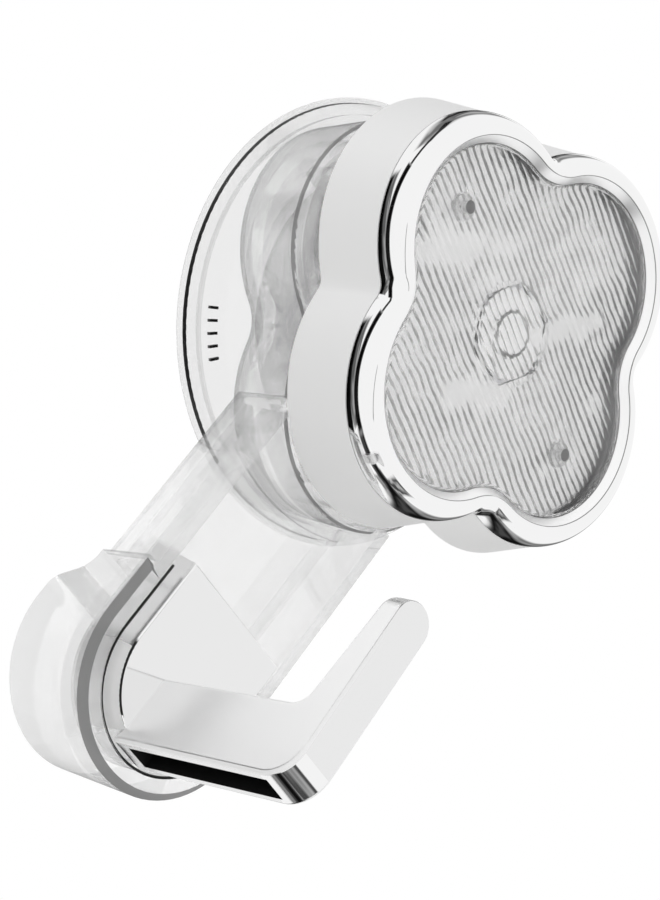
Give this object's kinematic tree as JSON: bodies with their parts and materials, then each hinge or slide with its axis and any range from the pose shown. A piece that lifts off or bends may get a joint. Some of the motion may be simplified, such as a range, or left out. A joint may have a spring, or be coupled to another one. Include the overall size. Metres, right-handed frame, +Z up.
{
  "type": "suction cup hook",
  "caption": "Suction cup hook with a clear housing and arm, a clover-shaped turning knob with a fluted lens, and a J-shaped plated hook.",
  "frame": {"origin": "centre of the cup's face, on the plane of the wall and on the knob's axis", "axes": "+Y points into the wall, -Y out into the room, +Z up the wall, +X to the right as seen from the room"},
  "size_m": [0.0672, 0.0519, 0.1144],
  "materials": {
    "soft_clear": "gloss",
    "clear_plastic": "gloss",
    "lens": "fluted",
    "reflector": "polished",
    "plated": "polished",
    "steel": "satin",
    "satin_plated": "satin",
    "slippery_plastic": "matte"
  },
  "bodies": {
    "base": {"suction_cup": "soft_clear", "pull_stud": "steel", "housing": "clear_plastic", "thrust_washer": "slippery_plastic", "end_washer": "steel", "end_screw": "steel", "hook": "plated"},
    "knob": {"knob": "satin_plated", "knob_nut": "steel", "reflector_plate": "reflector", "fluted_lens": "lens", "trim_ring": "plated", "lens_screws": "steel"}
  },
  "joints": [
    {"name": "knob_turn", "type": "hinge", "parent": "base", "child": "knob", "pos_m": [0, 0, 0], "axis": [0, 1, 0], "range_deg": [-12.5, 77.5]}
  ]
}
